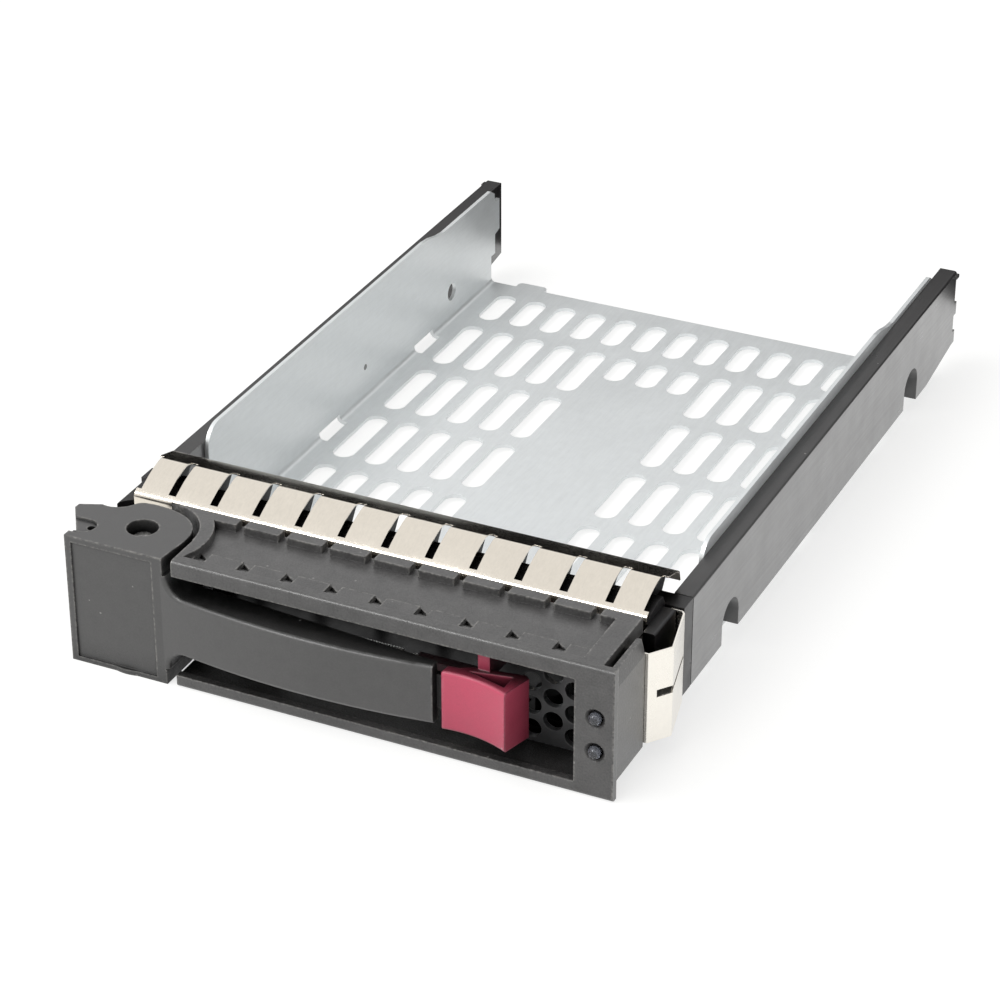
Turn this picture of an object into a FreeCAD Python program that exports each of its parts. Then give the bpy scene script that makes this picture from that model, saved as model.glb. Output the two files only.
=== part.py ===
import FreeCAD, Part
import math
import os

Vector = FreeCAD.Vector

# Millimetres. X runs to the right seen from the front, Y to the rear, Z up.
# Y = 0 is the front face of the bezel and Z = 0 its underside; X = 0 is the middle of the tray.

# Drive that the caddy carries
DRIVE_WIDTH = 101.6
DRIVE_SIDE_PLAY = 0.4
SCREW_SPACING = 101.6
SCREW_ABOVE_FLOOR = 6.35
REAR_SCREW_Y = 154.6
SCREW_HOLE_D = 4.0

# Fits between neighbouring pieces
SEAT = 0.3
SLIP = 0.1

# Steel tray
SHEET = 0.8
BEND_R = 1.8
FLOOR_TOP = 1.8
WALL_TOP = 25.85
WALL_FRONT = 47.4
WALL_CORNER_R = 4.5
WALL_STEP = [(141.0, 25.85), (144.0, 25.5), (148.0, 24.5), (151.0, 24.1)]
WALL_REAR = [
    (174.8, 24.1), (176.8, 22.8), (176.8, 20.7), (179.3, 20.7), (179.3, 13.3),
    (177.0, 12.7), (177.0, 8.0), (175.0, 8.0),
]
FLOOR_REAR = 175.0
TONGUE_FRONT = 24.0
TONGUE_HALF = 47.0
REAR_TAB = (-45.0, -38.0)
REAR_TAB_OUT = 2.2
SLOT_WIDTH = 4.8
SLOT_PITCH = 7.35
SLOT_COLUMNS = 13
ROW_LENGTH = 19.4
ROW_PITCH = 23.15
ROW_COUNT = 5
FIRST_ROW_Y = 143.1
LAST_ROW_Y = 163.3
LAST_ROW_LENGTH = 13.0
SHORT_ROW_Y = 147.3
SHORT_ROW_LENGTH = 11.0
SOLID_COLUMNS = (5, 6, 7)
BEND_WINDOWS = (96.5, 140.5)
WINDOW_LENGTH = 9.0
WINDOW_HEIGHT = 2.2

# Plastic rails on the outside of the walls
RAIL_THICK = 3.7
RAIL_TOP = 23.2
RAIL_BOTTOM = 4.6
RAIL_FRONT = 34.1
RAIL_REAR = 182.0
HEEL_LENGTH = 23.3
HEEL_FLAT = 6.8
HEEL_BOTTOM = 3.4
HEEL_END = 5.8
RAIL_EDGE_R = 0.5
NOTCH_WIDTH = 8.2
TOP_LIP_OUT = 0.6
TOP_LIP_HEIGHT = 1.2
TOP_LIP_LENGTH = 1.6
PEG_D = 1.4
PEG_SPOTS = [(59.0, 7.0), (113.0, 8.8)]

# Bezel
BEZEL_TOP = 26.7
BEZEL_RIGHT = 55.2
BEZEL_REAR = 18.7
LIP_LEFT = -31.8
UPPER_LIP = 23.5
LOWER_LIP = 2.5
LIP_DEPTH = 1.6
BEZEL_FLOOR = 2.1
RIGHT_BLOCK = 47.7
BLOCK_WALL = 1.6
PANEL_REAR = 13.4
PANEL_BOTTOM = 3.6
PANEL_TOP = 22.8
PANEL_RIM = 25.8
PANEL_RIM_SET = 0.7
PLATE_RIGHT = 52.4
RISER_BOTTOM = 19.0
POCKET_FLOOR = 25.2
POCKET_FRONT = 2.5
POCKET_SLOPE = 1.7
POCKET_RIGHT = 48.3
RIM_WIDTH = 2.7
FRONT_EDGE_R = 0.8
FINGER_PITCH = 8.88
BLOCK_WIDTH = 7.2
BLOCK_FRONT = 16.3
FIRST_BLOCK = -3.5
BLOCK_COUNT = 9
PAD_HEIGHT = 0.5
PAD_REAR = 6.9
PAD_GAP = 2.3
PAD_SHIFT = -1.65
PIT_LENGTH = 3.1
PIT_WIDTH = 2.1
PIT_DEPTH = 1.35
RIB_X = 24.0
RIB_THICK = 1.6
RIB_FRONT = 14.0
LED_X = 51.65
LED_HEIGHTS = (16.5, 9.6)
LED_HOLE_D = 2.7
LED_RIM_D = 3.9
LED_RIM_DEPTH = 0.6
SPRING_POST = (-17.5, 12.2)
SPRING_POST_D = 3.0
SPRING_POST_TOP = 12.4
BEZEL_SCREWS_X = (-24.0, 36.0)
BEZEL_SCREW_Y = 16.0

# Grille behind the recess
GRILLE_FRONT = 9.0
GRILLE_THICK = 1.2
GRILLE_LEFT = 25.0
GRILLE_HOLE_D = 3.8
GRILLE_COLUMN = 4.15
GRILLE_ROW = 4.88
GRILLE_FIRST = (43.9, 4.8)
GRILLE_COLUMNS = 5
GRILLE_ROWS = 4
GRILLE_NOTCH = (27.8, 35.3, 17.0)

# Lever
PIVOT = (-42.4, 8.3)
HUB_ROOM_R = 10.4
SWING_ROOM_R = 16.3
LEVER_LEFT = -54.1
LEVER_RIGHT = -34.0
LEVER_PLATE = 1.7
EAR_THICK = 5.3
HUB_R = 8.6
LOW_EAR_TOP = 3.0
HOOK_OUTLINE = [(-33.7, 0.0), (-54.1, 0.0), (-52.7, 2.0), (-57.6, 9.6), (-57.5, 10.9), (-53.5, 12.6)]
HUB_OUTLINE = [
    (-53.5, 12.6), (-49.9, 13.2), (-48.6, 14.4), (-47.6, 15.9), (-46.0, 16.5), (-43.1, 16.6),
    (-38.3, 15.6), (-35.2, 13.6), (-33.6, 11.1), (-33.1, 8.5), (-33.4, 3.8), (-33.7, 0.0),
]
RECESS = (-52.4, 4.6, 2.2, 0.5)
RECESS_HOLE = (-51.2, 4.9, 0.8, 2.0)
PANEL_INSET = (-52.8, -36.0, 1.0, 25.4)
PANEL_DEPTH = 0.35
PIN_D = 4.0
PIN_PLAY = 0.06
PIN_TOP = 24.9
PIN_BOTTOM = 0.6
PIN_CHAMFER = 0.3
EYE_D = 6.0
EYE_FLOOR = 22.8
BOSS_R = 6.0
BOSS_BOTTOM = 8.6
WEB_WIDTH = 7.0
WEB_ANGLE = 45.0
GRIP_BOTTOM = 7.4
GRIP_TOP = 19.4
GRIP_FRONT = [(-34.2, 0.0), (-1.0, -3.0), (21.1, -1.2)]
GRIP_THICK = 2.2
GRIP_BACK = [(-34.2, 5.7), (21.1, 0.9)]
GRIP_FLANGE = 1.5
ROOT_BOTTOM = 3.2
ROOT_TOP = 23.1
ROOT_R = 4.0
GRIP_EDGE_R = 0.8
TONGUE_REACH = 1.7
TONGUE_THICK = 1.2
TONGUE_HEIGHT = 7.0

# Latch button
BUTTON_BOTTOM = 7.4
BUTTON_TOP = 19.5
BUTTON_FRONT = [(23.3, -2.0), (29.6, -1.95), (36.3, -4.0)]
BUTTON_BACK = [(36.3, -4.0), (38.1, 2.4), (37.2, 3.2), (27.7, 1.8), (25.7, 0.5), (23.6, 0.3), (23.3, -2.0)]
BUTTON_HOLLOW = [(27.4, 0.2), (35.4, 1.7), (35.3, -1.9)]
HOLLOW_DEPTH = 9.0
BUTTON_EDGE_R = 0.6
ARM_X = (28.7, 31.0)
ARM_BOTTOM = 17.6
ARM_TOP = 22.6
CARRIER_Y = (11.2, 13.2)
FINGER_Z = (8.8, 11.8)
FINGER_LEFT = 11.6
FINGER_EYE = (13.0, 1.6)
GUIDE_LEFT = 15.0
GUIDE_RIGHT = 36.5
GUIDE_DROP = 2.6

# Springs and pivot pin
COIL_STEPS = 16
WIRE_FLATS = 6
TORSION_R = 3.3
TORSION_WIRE = 0.8
TORSION_PITCH = 1.15
TORSION_TURNS = 3.75
TORSION_BOTTOM = 3.7
TORSION_LEG = 6.5
RETURN_R = 1.5
RETURN_WIRE = 0.5
RETURN_LINK = 0.44
RETURN_PITCH = 2.0
RETURN_TURNS = 8
RETURN_START = -7.5
RETURN_LOOP_R = 2.05

# Contact strip on top
STRIP_INSET = 3.7
STRIP_SHEET = 0.25
STRIP_PATH = [
    (21.0, 22.6), (21.0, 24.9), (21.3, 25.2), (25.5, 27.0), (28.2, 28.3), (29.6, 28.6),
    (31.2, 28.3), (36.1, 26.5), (36.4, 26.1), (36.9, 24.3),
]
STRIP_FINGERS = 12
SLIT_WIDTH = 1.6
SLIT_Y = (22.1, 29.3)
END_NOTCH = 1.0

# Contact clip on the right side
CLIP_SHEET = 0.35
CLIP_BOTTOM = 4.4
CLIP_TOP = 22.9
CLIP_PATH = [
    (53.2, 14.9), (53.9, 13.9), (55.6, 13.9), (58.4, 17.7), (55.9, 28.6), (55.4, 29.2), (53.4, 29.2),
]
CLIP_SLIT_FRONT = (15.0, 17.9, 13.5, 15.0)
CLIP_SLIT_REAR = (17.8, 28.4, 13.9, 14.6)

# Black front frame behind the bezel
FRAME_FRONT = 19.0
FRAME_REAR = 33.8
FRAME_INSET = 2.9
FRAME_WALL = 1.8
FRAME_TOP = 22.0
RAMP = [(21.5, 22.0), (21.5, 24.2), (26.6, 25.6), (28.6, 25.4), (30.6, 22.0)]
SHOULDER_INSET = 1.1
SHOULDER_REAR = 28.4
SHOULDER_TOP = 23.5
POST_FRONT = 29.8
POST_BOTTOM = 4.6
FIN_WIDTH = 1.2
FIN = [(30.0, 21.9), (30.0, 27.7), (31.3, 27.5), (35.8, 26.0), (35.8, 24.6), (33.8, 21.9)]
VENT_WIDTH = 11.0
VENT_COUNT = 7
VENT_PITCH = 13.0
VENT_Z = (6.0, 18.0)
FOOT_WIDTH = 9.0
FOOT_FRONT = 13.4
FOOT_TOP = 4.4
SCREW_BOSS_D = 6.0
SCREW_BOSS_TOP = 9.0
TRAY_SCREWS_X = 38.0
TRAY_SCREW_Y = 28.0
TINY_SCREW_D = 2.5
TINY_HEAD_D = 4.6
TINY_HEAD = 0.6
TINY_DRIVE = 1.3
TINY_LENGTH = 6.0
HEAD_CLEAR = 0.2

# Light pipes from the bezel to the rear of the right rail
PIPE_WIDE = 1.8
PIPE_HEAD_D = 2.3
PIPE_HEAD_LENGTH = 6.0
PIPE_BEND_R = 4.0
PIPE_ROOM = 0.3
PIPE_RAIL_X = 53.6
PIPE_STEP_Y = (31.0, 42.0)
UPPER_HEIGHTS = (18.0, 14.0)
LOWER_HEIGHTS = (14.6, 7.2)
PIPE_STEP_BACK = (22.0, 10.0)
NOSE_HEIGHT = 2.9
NOSE_LENGTH = 1.4

# Derived positions
WALL_IN = (DRIVE_WIDTH + 2 * DRIVE_SIDE_PLAY) / 2
WALL_OUT = WALL_IN + SHEET
FLOOR_BOTTOM = FLOOR_TOP - SHEET
RAIL_OUT = WALL_OUT + RAIL_THICK
SCREW_Z = FLOOR_TOP + SCREW_ABOVE_FLOOR
SCREW_YS = (REAR_SCREW_Y - SCREW_SPACING, REAR_SCREW_Y)
EAR_BOTTOM = BEZEL_TOP - EAR_THICK
BOSS_TOP = EAR_BOTTOM - SEAT
FRAME_HALF = WALL_IN - FRAME_INSET
SHOULDER_RIGHT = RAIL_OUT - SHOULDER_INSET
STRIP_HALF = RAIL_OUT - STRIP_INSET
PIPE_END = RAIL_REAR + NOSE_LENGTH + SLIP
RIM_R = HUB_ROOM_R + RIM_WIDTH
TALL = 40.0


def box(x0, x1, y0, y1, z0, z1):
    return Part.makeBox(x1 - x0, y1 - y0, z1 - z0, Vector(x0, y0, z0))


def rod(start, axis, length, radius):
    return Part.makeCylinder(radius, length, Vector(*start), Vector(*axis))


def post(x, y, radius, z0, z1):
    return rod((x, y, z0), (0, 0, 1), z1 - z0, radius)


def face_of(points):
    return Part.Face(Part.makePolygon(points + points[:1]))


def prism_x(outline, x0, x1):
    """Extrudes a (Y, Z) outline from x0 to x1."""
    return face_of([Vector(x0, y, z) for y, z in outline]).extrude(Vector(x1 - x0, 0, 0))


def prism_z(outline, z0, z1):
    """Extrudes an (X, Y) outline from z0 to z1."""
    return face_of([Vector(x, y, z0) for x, y in outline]).extrude(Vector(0, 0, z1 - z0))


def curve(points):
    spline = Part.BSplineCurve()
    spline.interpolate(points)
    return spline.toShape()


def arc(points):
    return Part.Arc(*points).toShape()


def lines(points):
    return [Part.makeLine(a, b) for a, b in zip(points, points[1:])]


def mirror(shape):
    return shape.mirror(Vector(0, 0, 0), Vector(1, 0, 0))


def joined(shapes):
    return shapes[0].multiFuse(shapes[1:]).removeSplitter()


def rounded_slot(x, y, width, length, z0, z1):
    """A slot along Y with round ends, as a cutting body."""
    r = width / 2
    reach = length / 2 - r
    body = box(x - r, x + r, y - reach, y + reach, z0, z1)
    return body.multiFuse([post(x, y - reach, r, z0, z1), post(x, y + reach, r, z0, z1)])


def edges_where(shape, test):
    return [e for e in shape.Edges if test(e.BoundBox)]


def sheet(path, thickness):
    """The face between an open flat path and its offset."""
    return Part.Wire(lines(path)).makeOffset2D(thickness, 0, True, True)


def bent_path(points, radius):
    """A polyline in space with an arc at each inner corner."""
    edges = []
    start = points[0]
    for before, corner, after in zip(points, points[1:], points[2:]):
        back = (before - corner).normalize()
        ahead = (after - corner).normalize()
        half = back.getAngle(ahead) / 2
        reach = radius / math.tan(half)
        inward = (back + ahead).normalize()
        first = corner + back * reach
        last = corner + ahead * reach
        middle = corner + inward * (radius / math.sin(half) - radius)
        edges.append(Part.makeLine(start, first))
        edges.append(Part.Arc(first, middle, last).toShape())
        start = last
    edges.append(Part.makeLine(start, points[-1]))
    return Part.Wire(edges)


def swept_bar(path, half):
    """A square bar along a path that starts along Y."""
    start = path.Edges[0].Vertexes[0].Point
    square = ((-half, -half), (half, -half), (half, half), (-half, half))
    corners = [start + Vector(x, 0, z) for x, z in square]
    return path.makePipeShell([Part.makePolygon(corners + corners[:1])], True, False)


def coil(radius, wire, pitch, turns):
    """A wire coil round the Z axis, in short straight runs and with six flats round the wire."""
    steps = round(turns * COIL_STEPS)
    path = []
    for n in range(steps + 1):
        turn = 2 * math.pi * n / COIL_STEPS
        path.append(Vector(radius * math.cos(turn), radius * math.sin(turn), pitch * n / COIL_STEPS))
    section = []
    for n in range(WIRE_FLATS + 1):
        around = 2 * math.pi * n / WIRE_FLATS
        section.append(Vector(radius + wire / 2 * math.cos(around), 0, wire / 2 * math.sin(around)))
    return Part.makePolygon(path).makePipeShell([Part.makePolygon(section)], True, False, 1)


def make_tray():
    """One blank: floor and walls folded up, then pierced."""
    outer = [
        (-WALL_OUT, WALL_TOP), (-WALL_OUT, FLOOR_BOTTOM), (WALL_OUT, FLOOR_BOTTOM), (WALL_OUT, WALL_TOP),
    ]
    inner = [(WALL_IN, WALL_TOP), (WALL_IN, FLOOR_TOP), (-WALL_IN, FLOOR_TOP), (-WALL_IN, WALL_TOP)]
    section = face_of([Vector(x, WALL_FRONT, z) for x, z in outer + inner])
    length = max(y for y, z in WALL_REAR) - WALL_FRONT
    folded = section.extrude(Vector(0, length, 0))
    low_outer = edges_where(folded, lambda b: b.YLength > length / 2 and abs(b.ZMax - FLOOR_BOTTOM) < SLIP)
    folded = folded.makeFillet(BEND_R, low_outer)
    low_inner = edges_where(folded, lambda b: b.YLength > length / 2 and abs(b.ZMax - FLOOR_TOP) < SLIP)
    low_inner = [e for e in low_inner if abs(abs(e.BoundBox.XMax) - WALL_IN) < SLIP]
    folded = folded.makeFillet(BEND_R - SHEET, low_inner)
    side = [(WALL_FRONT, FLOOR_BOTTOM), (WALL_FRONT, WALL_TOP)] + WALL_STEP + WALL_REAR
    side.append((FLOOR_REAR, FLOOR_BOTTOM))
    profile = prism_x(side, -WALL_OUT, WALL_OUT)
    corner = edges_where(
        profile, lambda b: abs(b.YMax - WALL_FRONT) < SLIP and abs(b.ZMin - WALL_TOP) < SLIP
    )
    folded = folded.common(profile.makeFillet(WALL_CORNER_R, corner))
    tongue = box(-TONGUE_HALF, TONGUE_HALF, TONGUE_FRONT, WALL_FRONT, FLOOR_BOTTOM, FLOOR_TOP)
    tab = box(REAR_TAB[0], REAR_TAB[1], FLOOR_REAR, FLOOR_REAR + REAR_TAB_OUT, FLOOR_BOTTOM, FLOOR_TOP)
    tab_ends = edges_where(tab, lambda b: b.ZLength > SHEET / 2 and b.YMin > FLOOR_REAR + SLIP)
    body = joined([folded, tongue, tab.makeFillet(REAR_TAB_OUT / 2, tab_ends)])
    return body.cut(floor_slots() + wall_holes() + tongue_holes())


def floor_slots():
    z = (FLOOR_BOTTOM - SHEET, FLOOR_TOP + SHEET)
    first = -(SLOT_COLUMNS - 1) / 2 * SLOT_PITCH
    tools = []
    for column in range(SLOT_COLUMNS):
        x = first + column * SLOT_PITCH
        tools.append(rounded_slot(x, LAST_ROW_Y, SLOT_WIDTH, LAST_ROW_LENGTH, *z))
        if column in SOLID_COLUMNS:
            tools.append(rounded_slot(x, SHORT_ROW_Y, SLOT_WIDTH, SHORT_ROW_LENGTH, *z))
            continue
        for row in range(ROW_COUNT):
            tools.append(rounded_slot(x, FIRST_ROW_Y - row * ROW_PITCH, SLOT_WIDTH, ROW_LENGTH, *z))
    return tools


def wall_holes():
    tools = []
    across = 2 * (WALL_OUT + SHEET)
    for y in SCREW_YS:
        tools.append(rod((-WALL_OUT - SHEET, y, SCREW_Z), (1, 0, 0), across, SCREW_HOLE_D / 2))
    for y, z in PEG_SPOTS:
        tools.append(rod((-WALL_OUT - SHEET, y, z), (1, 0, 0), across, PEG_D / 2))
    for y in BEND_WINDOWS:
        window = box(
            WALL_IN - BEND_R, WALL_OUT + SHEET, y - WINDOW_LENGTH / 2, y + WINDOW_LENGTH / 2,
            FLOOR_BOTTOM - SHEET, FLOOR_BOTTOM + WINDOW_HEIGHT,
        )
        tools += [window, mirror(window)]
    return tools


def tongue_holes():
    return [
        post(x, TRAY_SCREW_Y, TINY_SCREW_D / 2 + SLIP, FLOOR_BOTTOM - SHEET, FLOOR_TOP + SHEET)
        for x in (-TRAY_SCREWS_X, TRAY_SCREWS_X)
    ]


def top_lip():
    """Small lip that stands out at the rear end of a rail's top edge."""
    z = RAIL_TOP - TOP_LIP_HEIGHT
    front = RAIL_REAR - TOP_LIP_LENGTH
    return box(RAIL_OUT - SHEET, RAIL_OUT + TOP_LIP_OUT, front, RAIL_REAR, z, RAIL_TOP - RAIL_EDGE_R)


def pegs():
    """Pegs that hold a rail in the small holes of the wall."""
    return [rod((WALL_IN, y, z), (1, 0, 0), 2 * SHEET, PEG_D / 2 - SLIP / 2) for y, z in PEG_SPOTS]


def make_right_rail(pipes, noses):
    """The rail, with the room for the pipes cut out and a nose round each pipe's rear end."""
    heel = RAIL_REAR - HEEL_LENGTH
    outline = [
        (RAIL_FRONT, RAIL_BOTTOM), (RAIL_FRONT, RAIL_TOP), (RAIL_REAR, RAIL_TOP), (RAIL_REAR, HEEL_END),
        (heel + HEEL_FLAT, HEEL_BOTTOM), (heel, HEEL_BOTTOM), (heel, RAIL_BOTTOM),
    ]
    body = prism_x(outline, WALL_OUT, RAIL_OUT)
    top_edge = edges_where(
        body, lambda b: b.YLength > TALL and b.XMin > RAIL_OUT - SLIP and b.ZMin > RAIL_TOP - SLIP
    )
    body = body.makeFillet(RAIL_EDGE_R, top_edge)
    pieces = [body, top_lip()] + pegs()
    for z in noses:
        half = NOSE_HEIGHT / 2
        pieces.append(box(WALL_OUT, RAIL_OUT, RAIL_REAR - SHEET, RAIL_REAR + NOSE_LENGTH, z - half, z + half))
    tools = []
    for y in SCREW_YS:
        half = NOTCH_WIDTH / 2
        tools.append(box(WALL_OUT - SHEET, RAIL_OUT + SHEET, y - half, y + half, 0, SCREW_Z))
        tools.append(rod((WALL_OUT - SHEET, y, SCREW_Z), (1, 0, 0), RAIL_THICK + 2 * SHEET, half))
    return joined(pieces).cut(tools + pipes)


def top_pocket():
    """The shallow tray in the bezel's top that the rows of pads stand in."""
    outline = [
        (POCKET_FRONT, BEZEL_TOP), (POCKET_FRONT + POCKET_SLOPE, POCKET_FLOOR),
        (FRAME_FRONT, POCKET_FLOOR), (FRAME_FRONT, TALL), (POCKET_FRONT, TALL),
    ]
    sunk = prism_x(outline, PIVOT[0], POCKET_RIGHT)
    return sunk.cut(post(*PIVOT, RIM_R, 0, TALL))


def top_pads():
    """Rear row of blocks and front row of low pads, one to each finger of the strip."""
    outside = top_pocket()
    pieces = []
    for n in range(BLOCK_COUNT + 1):
        x = (FIRST_BLOCK + n) * FINGER_PITCH
        half = BLOCK_WIDTH / 2
        block = box(x - half, x + half, BLOCK_FRONT, BEZEL_REAR, POCKET_FLOOR, BEZEL_TOP)
        pad_half = (FINGER_PITCH - PAD_GAP) / 2
        middle = x + PAD_SHIFT
        pad = box(
            middle - pad_half, middle + pad_half, POCKET_FRONT, PAD_REAR,
            POCKET_FLOOR, POCKET_FLOOR + PAD_HEIGHT,
        )
        pieces += [block.common(outside), pad.common(outside)]
    return [p for p in pieces if p.Volume > SLIP]


def top_pits():
    """Three-cornered pits between the front pads, deepest at the rear."""
    top = POCKET_FLOOR + PAD_HEIGHT
    front = PAD_REAR - PIT_LENGTH
    ramp = [(front, top), (PAD_REAR, top - PIT_DEPTH), (PAD_REAR, TALL), (front, TALL)]
    pits = []
    for n in range(BLOCK_COUNT):
        x = (FIRST_BLOCK + n) * FINGER_PITCH + (FINGER_PITCH - PAD_GAP) / 2 + PAD_SHIFT + SLIP
        corners = [(x, front), (x + PIT_WIDTH, PAD_REAR - PIT_LENGTH / 2), (x, PAD_REAR)]
        pits.append(prism_z(corners, 0, TALL).common(prism_x(ramp, x, x + PIT_WIDTH)))
    return pits


def hub_wall(z0, z1):
    """Quarter ring behind the lever's hub that ties the bezel's top to its floor."""
    ring = post(*PIVOT, HUB_ROOM_R + FRAME_WALL, z0, z1).cut(post(*PIVOT, HUB_ROOM_R, z0, z1))
    return ring.common(box(PIVOT[0], 0, PIVOT[1], BEZEL_REAR, z0, z1))


def make_bezel():
    plate = box(PIVOT[0], PLATE_RIGHT, 0, BEZEL_REAR, UPPER_LIP, BEZEL_TOP)
    floor = box(PIVOT[0], PLATE_RIGHT, 0, BEZEL_REAR, 0, BEZEL_FLOOR)
    lip = box(LIP_LEFT, BEZEL_RIGHT, 0, LIP_DEPTH, 0, LOWER_LIP)
    flange = box(RIGHT_BLOCK, BEZEL_RIGHT, 0, LIP_DEPTH, 0, BEZEL_TOP)
    inner_wall = box(RIGHT_BLOCK, RIGHT_BLOCK + BLOCK_WALL, 0, BEZEL_REAR, 0, BEZEL_TOP)
    right = BEZEL_RIGHT - SLIP
    side = [
        (right - BLOCK_WALL, PANEL_BOTTOM), (right, PANEL_BOTTOM), (right, PANEL_TOP),
        (right - PANEL_RIM_SET, PANEL_RIM), (right - BLOCK_WALL, PANEL_RIM),
    ]
    panel = face_of([Vector(x, 0, z) for x, z in side]).extrude(Vector(0, PANEL_REAR, 0))
    middle = sum(LED_HEIGHTS) / 2
    shelf = box(RIGHT_BLOCK, right - SLIP, 0, PANEL_REAR, middle - BLOCK_WALL / 2, middle + BLOCK_WALL / 2)
    sill = box(RIGHT_BLOCK, right, 0, PANEL_REAR, PANEL_BOTTOM, PANEL_BOTTOM + BLOCK_WALL)
    riser = box(PLATE_RIGHT - BLOCK_WALL, PLATE_RIGHT, 0, PANEL_REAR, RISER_BOTTOM, BEZEL_TOP)
    toe = box(PLATE_RIGHT - BLOCK_WALL, PLATE_RIGHT, 0, PANEL_REAR, 0, PANEL_BOTTOM + BLOCK_WALL)
    shell = joined([plate, floor, lip, flange, inner_wall, panel, shelf, sill, riser, toe])
    left = box(PIVOT[0] - TALL, LIP_LEFT, -TALL, PIVOT[1], -TALL, TALL)
    shell = shell.cut([left, post(*PIVOT, HUB_ROOM_R, -TALL, TALL), top_pocket()])
    front = edges_where(
        shell, lambda b: b.XLength > TALL and b.YMax < SLIP and (b.ZMin > BEZEL_TOP - SLIP or b.ZMax < SLIP)
    )
    shell = shell.makeFillet(FRONT_EDGE_R, front)
    boss = post(*PIVOT, BOSS_R, BOSS_BOTTOM, BOSS_TOP)
    web = box(0, HUB_ROOM_R + SHEET, -WEB_WIDTH / 2, WEB_WIDTH / 2, BOSS_BOTTOM, BOSS_TOP)
    web.rotate(Vector(0, 0, 0), Vector(0, 0, 1), WEB_ANGLE)
    web.translate(Vector(*PIVOT, 0))
    rib = box(RIB_X, RIB_X + RIB_THICK, RIB_FRONT, BEZEL_REAR, 0, UPPER_LIP)
    guide = box(
        GUIDE_LEFT, GUIDE_RIGHT, CARRIER_Y[1] + SEAT, RIB_FRONT + SHEET, UPPER_LIP - GUIDE_DROP, UPPER_LIP,
    )
    ledge = box(
        GUIDE_LEFT, RIB_X + RIB_THICK, CARRIER_Y[0] - SHEET, RIB_FRONT + SHEET,
        FINGER_Z[0] - SEAT - RIB_THICK, FINGER_Z[0] - SEAT,
    )
    spring_post = post(*SPRING_POST, SPRING_POST_D / 2, 0, SPRING_POST_TOP)
    body = joined([shell, boss, web, hub_wall(0, BEZEL_TOP), rib, guide, ledge, spring_post] + top_pads())
    tools = top_pits() + [post(*PIVOT, PIN_D / 2, 0, TALL)]
    for z in LED_HEIGHTS:
        tools.append(rod((LED_X, -SHEET, z), (0, 1, 0), TALL, LED_HOLE_D / 2))
        tools.append(Part.makeCone(
            LED_RIM_D / 2, LED_HOLE_D / 2, LED_RIM_DEPTH, Vector(LED_X, 0, z), Vector(0, 1, 0),
        ))
    for x in BEZEL_SCREWS_X:
        tools.append(post(x, BEZEL_SCREW_Y, TINY_SCREW_D / 2 + SLIP, -SHEET, LOWER_LIP))
        tools.append(post(x, BEZEL_SCREW_Y, TINY_HEAD_D / 2 + SLIP, -SHEET, TINY_HEAD + HEAD_CLEAR))
    return body.cut(tools)


def make_grille():
    plate = box(
        GRILLE_LEFT, RIGHT_BLOCK, GRILLE_FRONT, GRILLE_FRONT + GRILLE_THICK, BEZEL_FLOOR, UPPER_LIP,
    )
    left, right, bottom = GRILLE_NOTCH
    notch = box(left, right, 0, TALL, bottom, TALL)
    holes = [notch]
    for column in range(GRILLE_COLUMNS):
        x = GRILLE_FIRST[0] - column * GRILLE_COLUMN
        raised = column % 2 * GRILLE_ROW / 2
        for row in range(GRILLE_ROWS):
            z = GRILLE_FIRST[1] + raised + row * GRILLE_ROW
            hole = rod((x, 0, z), (0, 1, 0), TALL, GRILLE_HOLE_D / 2)
            if hole.common(notch).Volume < SLIP:
                holes.append(hole)
    return plate.cut(holes)


def make_strip():
    path = [Vector(-STRIP_HALF, y, z) for y, z in STRIP_PATH]
    body = sheet(path, STRIP_SHEET).extrude(Vector(2 * STRIP_HALF, 0, 0))
    slits = []
    for n in range(1, STRIP_FINGERS):
        x = (n - STRIP_FINGERS / 2) * FINGER_PITCH
        slits.append(box(x - SLIT_WIDTH / 2, x + SLIT_WIDTH / 2, *SLIT_Y, 0, TALL))
    for x in (-STRIP_HALF - SLIP, STRIP_HALF - END_NOTCH):
        slits.append(box(x, x + END_NOTCH + SLIP, *SLIT_Y, 0, TALL))
    return body.cut(slits)


def make_clip():
    path = [Vector(x, y, CLIP_BOTTOM) for x, y in CLIP_PATH]
    body = sheet(path, CLIP_SHEET).extrude(Vector(0, 0, CLIP_TOP - CLIP_BOTTOM))
    slits = []
    for y0, y1, z0, z1 in (CLIP_SLIT_FRONT, CLIP_SLIT_REAR):
        slits.append(box(WALL_OUT + SHEET, TALL * 2, y0, y1, z0, z1))
    return body.cut(slits)


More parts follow.
